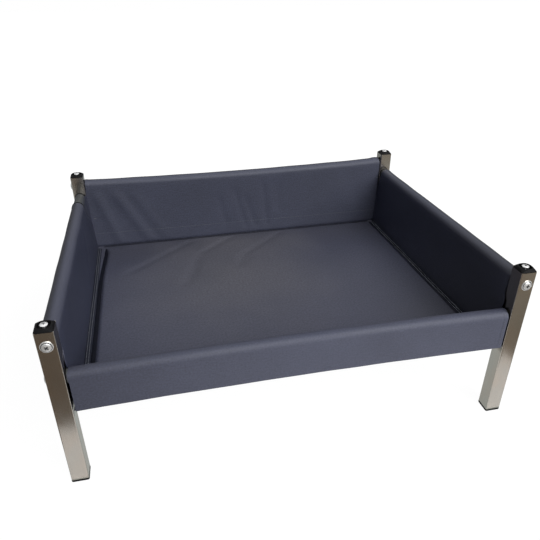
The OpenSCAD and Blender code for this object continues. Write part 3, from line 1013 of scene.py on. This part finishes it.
def stitch_row(points, normals, pitch=STITCH_PITCH, length=STITCH_LENGTH, width=STITCH_RADIUS):
    """A row of stitches laid along points on the cloth: one stitch, repeated, then bent to the line."""
    run = np.append(0, np.cumsum(np.linalg.norm(np.diff(points, axis=0), axis=1)))
    count = max(1, int(run[-1] / pitch))
    only()
    bpy.ops.mesh.primitive_uv_sphere_add(segments=8, ring_count=5, radius=1)
    row = bpy.context.object
    row.data.transform(Matrix.Rotation(TURN / 4, 4, "Y"))
    row.data.transform(Matrix.Diagonal((length / 2, width, STITCH_RADIUS, 1)))
    modify(
        row, "ARRAY", fit_type="FIXED_COUNT", count=count, use_relative_offset=False,
        use_constant_offset=True, constant_offset_displace=(pitch, 0, 0),
    )
    flat = places(row.data)
    where = flat[:, 0] + (run[-1] - (count - 1) * pitch) / 2

    def at(values):
        return np.stack([np.interp(where, run, values[:, axis]) for axis in range(3)], 1)

    up = at(normals)
    side = np.cross(up, at(np.gradient(points, run, axis=0)))
    move_to(row.data, at(points) + side * flat[:, 1:2] + up * flat[:, 2:3])
    smooth(row, 80)
    return row


def on_wall(wall, along, run):
    """Points and face normals along a line on a wall's cloth."""
    lift = STITCH_RADIUS * 0.4
    points = wall.surface(along, run, lift)
    return points, (wall.surface(along, run, lift + MM) - points) / MM


def end_hem_stitches(wall, first, last, at_end):
    """Stitching down the hem at one end of a wall, between two zones of its section."""
    run = np.linspace(wall.at_zone(first), wall.at_zone(last), 60)
    start, end = wall.span(run)
    inset = END_HEM - 2.5 * MM
    return stitch_row(*on_wall(wall, end - inset if at_end else start + inset, run))


def bar_tack(points, normals):
    """A short dense bar of thread that ends a seam."""
    return stitch_row(points, normals, pitch=0.55 * MM, length=0.6 * MM, width=1.1 * MM)


def wall_stitching(name, wall):
    """Hem stitching at the ends of a wall, over its sleeve too beside the bare rail."""
    last = 2.0 if name == "left_wall" else 1.0
    return [end_hem_stitches(wall, 0.12, last, at_end == 1) for at_end in (0, 1) if wall.hems[at_end]]


def back_wall_rows(wall):
    """The long row above the floor, and the tacks at the tops of both corner seams."""
    foot = wall.at_zone(2.999)
    along = np.linspace(-MITRE_X, MITRE_X, 200)
    rows = [stitch_row(*on_wall(wall, along, foot - np.linspace(33, 28.5, 200) * MM))]
    for start, end, high in ((-355, -349, 72), (356, 361, 116)):
        place = np.linspace(start, end, 12) * MM
        rows.append(bar_tack(*on_wall(wall, place, np.full(12, foot - high * MM))))
    return rows


def tape_stitching(name, middle, width, rows, thread):
    """Two rows of stitches along a seam tape."""
    y = np.linspace(tape_low.y + 3 * MM, tape_high.y - 3 * MM, 200)
    up = np.tile((0.0, 0.0, 1.0), (len(y), 1))
    made = []
    for share in (-rows, rows):
        x = on_tape(middle, share * width / 2, y)
        made.append(stitch_row(np.stack((x, y, floor_z(y) + 1.3 * MM), 1), up, width=thread))
    return join(name, made)


# Fittings


def cross_cutter(width, length, depth, top):
    """A cross-shaped driver recess that narrows as it goes down."""
    only()
    bpy.ops.mesh.primitive_cube_add(size=1)
    cutter = bpy.context.object
    cutter.data.transform(Matrix.Diagonal((width, width, 2 * depth, 1)))
    arm = (length - width) / 2
    edit(cutter)
    for x, y in ((1, 0), (-1, 0), (0, 1), (0, -1)):
        pick(cutter, "polygons", lambda centre, face: face.normal.x * x + face.normal.y * y > 0.9
             and abs(centre.x * y) + abs(centre.y * x) < SAME_PLACE)
        extrude(x * arm, y * arm, 0)
    pick(cutter, "polygons", lambda centre, face: centre.z < -0.9 * depth)
    bpy.ops.transform.resize(value=(0.5, 0.5, 1))
    leave_edit()
    cutter.data.transform(Matrix.Translation((0, 0, top)))
    return cutter


def turned(name, profile):
    """A turned piece about the z axis: a disc extruded ring by ring through (radius, height)."""
    only()
    radius, height = profile[0]
    bpy.ops.mesh.primitive_circle_add(vertices=40, radius=radius, fill_type="NGON", location=(0, 0, 0))
    piece = bpy.context.object
    piece.name = piece.data.name = name
    piece.data.transform(Matrix.Translation((0, 0, height)))
    edit_all(piece)
    for next_radius, next_height in profile[1:]:
        extrude(0, 0, next_height - height)
        scale = next_radius / radius
        bpy.ops.transform.resize(value=(scale, scale, 1))
        radius, height = next_radius, next_height
    leave_edit()
    face_out(piece)
    return piece


def dome(radius, base, height):
    """Rings of a low dome, as (radius, height) from its rim to its top."""
    angles = np.linspace(0, TURN / 4, 8)[1:-1]
    return [(radius * math.cos(angle), base + height * math.sin(angle)) for angle in angles]


def driven_head(name, profile, top, recess, ring=(0, 0, 0)):
    """A turned fastener with a cross recess (width, length, depth) in its head.

    Painted shade is marked in the recess, and in a ring (inner radius, outer radius, height) round the
    dome.
    """
    piece = turned(name, profile)
    cutter = cross_cutter(*recess, top)
    modify(piece, "BOOLEAN", operation="DIFFERENCE", object=cutter, solver="EXACT")
    remove(cutter)
    smooth(piece, 32)
    _, length, depth = recess
    inner, outer, height = ring
    mark = piece.data.attributes.new("recess", "FLOAT", "FACE")
    for face in piece.data.polygons:
        z = face.center.z
        reach = math.hypot(face.center.x, face.center.y)
        sunk = face.normal.z < 0.85 or z < top - 0.7 * depth
        in_cross = reach < length / 2 and z > 0 and sunk
        in_ring = inner < reach < outer and 0 < z < height
        mark.data[face.index].value = float(in_cross or in_ring)
    return piece


def flange_bolt():
    """A bolt with a flanged dome head: flange on z = 0, shank below."""
    shank, flange, crown = 2.95 * MM, 9.5 * MM, 7.2 * MM
    profile = [
        (shank - 0.6 * MM, -BOLT_LENGTH), (shank, -BOLT_LENGTH + 0.8 * MM), (shank, 0),
        (flange - 0.3 * MM, 0), (flange, 0.35 * MM), (flange, 0.9 * MM), (flange - 0.4 * MM, 1.3 * MM),
        (8.2 * MM, 1.4 * MM), (7.8 * MM, 0.7 * MM), (7.3 * MM, 0.7 * MM), (crown, 1.6 * MM),
        *dome(crown, 1.7 * MM, BOLT_HEAD - 1.7 * MM),
    ]
    recess = (3 * MM, 9.2 * MM, 2.4 * MM)
    return driven_head("flange_bolt", profile, BOLT_HEAD, recess, (7.1 * MM, 8.1 * MM, 1.3 * MM))


def pan_screw():
    """A cap screw with a low pan head: head on z = 0, shank below."""
    shank, head = 2.45 * MM, 6.0 * MM
    profile = [
        (shank - 0.5 * MM, -SCREW_LENGTH), (shank, -SCREW_LENGTH + 0.7 * MM), (shank, 0),
        (head - 0.25 * MM, 0), (head, 0.3 * MM), *dome(head, 0.4 * MM, SCREW_HEAD - 0.4 * MM),
    ]
    return driven_head("pan_screw", profile, SCREW_HEAD, (2.2 * MM, 7.0 * MM, 1.9 * MM))


def bolts(name, master, ends):
    """Copies of the bolt at rail ends, each a (place, outward direction, turn), as one piece."""
    made = []
    for place, outward, turn in ends:
        aim = Vector(outward).to_track_quat("Z", "Y").to_matrix().to_4x4()
        made.append(copy(master, Matrix.Translation(place) @ aim @ Matrix.Rotation(turn, 4, "Z")))
    return finish_piece(join(name, made), PLATED, "plated_fastener", name)


def all_bolts():
    master = flange_bolt()
    outer_x, outer_y = LEG_X + LEG_WIDTH / 2, LEG_Y + LEG_WIDTH / 2
    for name, y, z in (("front_rail_bolts", -LEG_Y, FRONT_RAIL_Z), ("back_rail_bolts", LEG_Y, BACK_RAIL_Z)):
        bolts(name, master, [((s * outer_x, y, z), (s, 0, 0), 0.4 + s * 0.7) for s in (-1, 1)])
    ends = ((-1, SIDE_RAIL_FRONT_Z), (1, SIDE_RAIL_REAR_Z))
    for name, x in (("left_rail_bolts", -LEG_X), ("right_rail_bolts", LEG_X)):
        bolts(name, master, [((x, s * outer_y, z), (0, s, 0), 0.5 + 3 * x) for s, z in ends])
    remove(master)


def cap_screws():
    master = pan_screw()
    made = []
    for x in (-1, 1):
        for y in (-1, 1):
            turn = Matrix.Rotation(0.9 * x + 0.4 * y, 4, "Z")
            made.append(copy(master, Matrix.Translation((x * LEG_X, y * LEG_Y, CAP_TOP)) @ turn))
    remove(master)
    finish_piece(join("cap_screws", made), PLATED, "plated_fastener", "cap_screws")


def black_rail_ring(width, wall):
    """A ring that fits round a rail, about the z axis."""
    only()
    bore = RAIL_RADIUS + 0.15 * MM
    bpy.ops.mesh.primitive_cylinder_add(vertices=48, radius=bore, depth=width, end_fill_type="NOTHING")
    ring = bpy.context.object
    modify(ring, "SOLIDIFY", thickness=wall, offset=1.0)
    round_edges(ring, 0.25 * MM, 2, 40)
    smooth(ring, 40)
    return ring


def end_rings():
    """A thin black ring round each rail beside its leg, and a stouter one at the left sleeve's mouth as
    painted shade.
    """
    width = 1.2 * MM
    x, y = (inner - width / 2 - 0.1 * MM for inner in (LEG_INNER_X, LEG_INNER_Y))
    to_x, to_y = (Matrix.Rotation(TURN / 4, 4, axis) for axis in "YX")
    master = black_rail_ring(width, 0.9 * MM)
    made = []
    for s in (-1, 1):
        ends = (
            ((s * x, -LEG_Y, FRONT_RAIL_Z), to_x),
            ((s * x, LEG_Y, BACK_RAIL_Z), to_x),
            ((s * LEG_X, -y, side_rail_z(-y)), to_y),
            ((s * LEG_X, y, side_rail_z(y)), to_y),
        )
        made += [copy(master, Matrix.Translation(place) @ turn) for place, turn in ends]
    remove(master)
    # The ring at the sleeve's mouth is painted shade: a dark line where the sleeve ends on the bare rail
    mouth = LEFT_SLEEVE_END + 2.6 * MM
    made.append(black_rail_ring(3 * MM, 2.1 * MM))
    made[-1].data.transform(Matrix.Translation((-LEG_X, mouth, side_rail_z(mouth))) @ to_y)
    finish_piece(join("rail_end_rings", made), PLASTIC, "black_plastic")


def level(piece, edge):
    """Whether an edge lies flat."""
    first, second = (piece.data.vertices[index].co.z for index in edge.vertices)
    return abs(second - first) < SAME_PLACE


def rounded_plate(half, corner, height):
    """A flat square plate with round corners, lying at a height."""
    only()
    bpy.ops.mesh.primitive_plane_add(size=2 * half)
    plate = bpy.context.object
    plate.data.transform(Matrix.Translation((0, 0, height)))
    edit_all(plate, "VERT")
    bpy.ops.mesh.bevel(affect="VERTICES", offset=corner, segments=6)
    leave_edit()
    return plate


def leg_cap():
    """A moulded cap: a skirt that ends in a round-cornered bevelled top, standing on a plug."""
    height = CAP_TOP - LEG_TOP
    skirt = height - CAP_BEVEL_DOWN
    top = rounded_plate(LEG_WIDTH / 2 - CAP_BEVEL_IN, CAP_TOP_CORNER, height)
    base = rounded_plate(LEG_WIDTH / 2, CAP_CORNER, 0)
    edit_all(base)
    extrude(0, 0, skirt)
    pick(base, "polygons", lambda centre, face: centre.z > 0.9 * skirt and abs(face.normal.z) > 0.9)
    bpy.ops.mesh.delete(type="ONLY_FACE")
    leave_edit()
    cap = join("cap", [top, base])
    edit(cap, "EDGE")
    pick(cap, "edges", lambda centre, edge: centre.z > 0.9 * skirt)
    bpy.ops.mesh.bridge_edge_loops()
    pick(cap, "edges", lambda centre, edge: centre.z > 0.9 * skirt and level(cap, edge))
    bpy.ops.mesh.bevel(offset=CAP_EDGE, segments=4)
    leave_edit()
    face_out(cap)
    edit(cap)
    pick(cap, "polygons", lambda centre, face: face.normal.z < -0.9)
    bpy.ops.mesh.inset(thickness=PLUG_INSET)
    extrude(0, 0, -PLUG_DEPTH)
    leave_edit()
    round_edges(cap, 0.45 * MM, 3, 25)
    smooth(cap, 40)
    return cap


def leg_foot():
    """A moulded foot: a sole with a low lip round the leg's end and a plug up inside the leg."""
    foot = rounded_plate(LEG_WIDTH / 2 + FOOT_PROUD, FOOT_CORNER, 0)
    edit_all(foot)
    extrude(0, 0, FOOT_HEIGHT + FOOT_LIP)
    leave_edit()
    face_out(foot)
    edit(foot)
    pick(foot, "polygons", lambda centre, face: face.normal.z > 0.9)
    for inset, rise in ((FOOT_PROUD - 0.05 * MM, -FOOT_LIP), (PLUG_INSET, PLUG_DEPTH)):
        bpy.ops.mesh.inset(thickness=inset)
        extrude(0, 0, rise)
    leave_edit()
    round_edges(foot, 0.25 * MM, 2, 25)
    smooth(foot, 40)
    return foot


def leg_ends():
    """A cap and a foot on each leg."""
    for kind, master, z in (("cap", leg_cap(), LEG_TOP), ("foot", leg_foot(), 0)):
        for end, y in (("front", -LEG_Y), ("rear", LEG_Y)):
            for side, x in (("left", -LEG_X), ("right", LEG_X)):
                name = f"{end}_{side}_{kind}"
                moulding = copy(master, Matrix.Translation((x, y, z)))
                finish_piece(join(name + "_moulding", [moulding]), PLASTIC, "black_plastic", name)
        remove(master)


def finish_frame_nodes():
    """Gives the frame's own solids that stay in sight their materials."""
    finishes = {"leg": STEEL, "rail": PAINT, "inserts": ALLOY, "nuts": PLATED}
    for name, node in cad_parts.items():
        kind = name.split("_")[-1]
        if kind in finishes:
            node.data.materials.clear()
            node.data.materials.append(finishes[kind])


# Stage, light and camera

# The white paper's tone, and its share of glow: as light on the cot, as the camera sees it, and in gloss
PAPER = 0.92
PAPER_GLOW = 0.75
SHOWN_WHITE = 0.91
PAPER_GLOSS = 0.35
# The world's light on the cot, and the darkest and brightest of it in gloss, with where it is brightest
AMBIENT = 0.04
GLOSS_LOW = 0.06
GLOSS_HIGH = 1.2
GLOSS_TOWARDS = (0.06, 0.12, 0.99)
# Card round the white paper: the sides of the hole in it, its front edge left and right, and its pale part,
# which glows
CARD_HOLE_X = (-460 * MM, 500 * MM)
CARD_HOLE_Y = (-441 * MM, -464 * MM)
CARD_UNDER_Y = -318 * MM
CARD_REACH = 3.0
UNDER_GLOW = colour(0.43, 0.46, 0.455)
BLACK, WHITE = colour(0, 0, 0), colour(1, 1, 1)


def ray(finish, kind):
    """1 for rays of this kind, else 0."""
    return finish.node("LightPath", {}, {}, f"Is {kind} Ray")


def seen(finish):
    """1 for rays that show the stage itself, else 0."""
    return ray(finish, "Camera").most(ray(finish, "Transmission"))


def studio_floor():
    """White paper, a little less bright near the cot so that it keeps a faint shadow."""
    only()
    bpy.ops.mesh.primitive_plane_add(size=14)
    floor = bpy.context.object
    floor.name = "studio_floor"
    finish = Coat("white_paper")
    paper = {"Base Color": colour(PAPER, PAPER, PAPER), "Roughness": 0.9, "Specular IOR Level": 0.1}
    finish.feed(finish.shader, paper)
    lit = Value(finish, finish.shader.outputs[0])
    glow = finish.node("Emission", {}, {"Color": WHITE, "Strength": 1.07})
    shown = SHOWN_WHITE + finish.length(finish.place()).ease(0.5, 1.1) * (1 - SHOWN_WHITE)
    share = PAPER_GLOW + seen(finish) * (shown - PAPER_GLOW)
    share = share + ray(finish, "Glossy") * (PAPER_GLOSS - PAPER_GLOW)
    mixed = finish.node("MixShader", {}, {0: share, 1: lit, 2: glow})
    finish.feed(finish.tree.nodes["Material Output"], {"Surface": mixed})
    floor.data.materials.append(finish.material)


def studio_card():
    """Card that only gloss shows: brown round the paper's front and sides, and under the cot a pale glow
    that stands in for light on the paper.
    """
    left, right = CARD_HOLE_X
    left_front, right_front = CARD_HOLE_Y
    fields = (
        (-CARD_REACH, 0, -CARD_REACH, left_front),
        (0, CARD_REACH, -CARD_REACH, right_front),
        (-CARD_REACH, left, left_front, CARD_REACH),
        (right, CARD_REACH, right_front, CARD_REACH),
        (left, right, CARD_UNDER_Y, CARD_REACH),
    )
    cards = []
    for x0, x1, y0, y1 in fields:
        only()
        bpy.ops.mesh.primitive_plane_add(size=1)
        middle = Matrix.Translation(((x0 + x1) / 2, (y0 + y1) / 2, 2 * MM))
        bpy.context.object.data.transform(middle @ Matrix.Diagonal((x1 - x0, y1 - y0, 1, 1)))
        cards.append(bpy.context.object)
    card = join("studio_card", cards)
    finish = Coat("brown_card")
    under = finish.axis("Y").ease(CARD_UNDER_Y - 5 * MM, CARD_UNDER_Y)
    across = finish.axis("X").ease(-0.4, 0.6)
    brown = finish.mix(across, colour(0.175, 0.135, 0.098), colour(0.255, 0.222, 0.176))
    finish.feed(finish.shader, {
        "Base Color": finish.mix(under, brown, BLACK),
        "Emission Color": finish.mix(under, BLACK, UNDER_GLOW),
        "Emission Strength": 1.0,
        "Roughness": 0.9,
    })
    card.data.materials.append(finish.material)
    card.visible_camera = False
    card.visible_diffuse = False
    card.visible_shadow = False


def softbox(name, place, target, size, power):
    light = bpy.data.lights.new(name, "AREA")
    light.size = size
    light.energy = power
    lamp = bpy.data.objects.new(name, light)
    lamp.location = place
    lamp.rotation_euler = (Vector(target) - Vector(place)).to_track_quat("-Z", "Y").to_euler()
    bpy.context.scene.collection.objects.link(lamp)


def studio_world():
    """White where it is seen, dim on the cot, and a bright sky overhead in gloss."""
    world = bpy.data.worlds.new("studio")
    world.use_nodes = True
    finish = Finish(world.node_tree)
    towards = {0: finish.node("TexCoord", {}, {}, "Generated"), 1: GLOSS_TOWARDS}
    window = finish.node("VectorMath", {"operation": "DOT_PRODUCT"}, towards, "Value").ease(0.1, 0.9)
    gloss = GLOSS_LOW - AMBIENT + window * (GLOSS_HIGH - GLOSS_LOW)
    strength = AMBIENT + seen(finish) * (1 - AMBIENT) + ray(finish, "Glossy") * gloss
    finish.feed(world.node_tree.nodes["Background"], {"Color": WHITE, "Strength": strength})
    bpy.context.scene.world = world


CAMERA_PLACE = (-0.2044, -0.9861, 0.7705)
CAMERA_TILT = math.radians(59.473)
CAMERA_HEADING = math.radians(-12.401)
LENS_MM = 37.21
SENSOR_MM = 36


def photo_camera():
    data = bpy.data.cameras.new("camera")
    data.sensor_width = SENSOR_MM
    data.lens = LENS_MM
    camera = bpy.data.objects.new("camera", data)
    camera.location = CAMERA_PLACE
    camera.rotation_euler = (CAMERA_TILT, 0, CAMERA_HEADING)
    bpy.context.scene.collection.objects.link(camera)
    bpy.context.scene.camera = camera


def sling():
    """The sling's cloths, tapes and stitching; the size each wall and the floor were cut to is worked out
    but not used.
    """
    for node, wall in WALLS.items():
        piece = wall.cloth()
        rows = wall_stitching(node, wall)
        if node == "back_wall":
            rows += back_wall_rows(wall)
        extras = [finish_piece(join(node + "_stitching", rows), THREAD, "seam_tape")]
        finish_piece(piece, WALL_CLOTHS[node], "sling_cloth", node)
        rail = node.replace("wall", "rail")
        if any(wall.bow):
            rail = bowed_rail(rail, wall.place, wall.bow).name
        if node == "left_wall":
            extras.append(finish_piece(corner_gusset(), WALL_CLOTHS[node], "sling_cloth"))
        flat, area = wall.cut()
    floor = finish_piece(sling_floor(), FLOOR_CLOTH, "sling_cloth", "floor_panel")
    for side, (middle, width, rows, thread) in TAPES.items():
        tape = seam_tape(f"{side}_seam_tape_cloth", middle, width, rows)
        finish_piece(tape, TAPE_CLOTHS[side], "seam_tape", f"{side}_seam_tape")
        stitches = tape_stitching(f"{side}_seam_stitching", middle, width, rows, thread)
        finish_piece(stitches, TAPE_THREADS[side], "seam_tape")
    # Painted shade: a dark cord in the rear seam and a dark strip in the left groove
    finish_piece(seam_shade_cord(), TAPE_CLOTHS["left"], "seam_tape")
    finish_piece(groove_shade_strip(), TAPE_CLOTHS["right"], "seam_tape")
    flat = (floor_high.x - floor_low.x, floor_high.y - floor_low.y)
    notch = (floor_high.x - LEG_INNER_X + LEG_NOTCH) * (floor_high.y - LEG_INNER_Y + LEG_NOTCH)
    area = flat[0] * flat[1] - 4 * notch


photo_camera()
studio_world()
studio_floor()
studio_card()
softbox("key", place=(1.65, -3.1, 2.65), target=(0, 0, 0.15), size=3.2, power=165)
finish_frame_nodes()
sling()
leg_ends()
cap_screws()
all_bolts()
end_rings()

bpy.context.scene.view_settings.view_transform = "Standard"
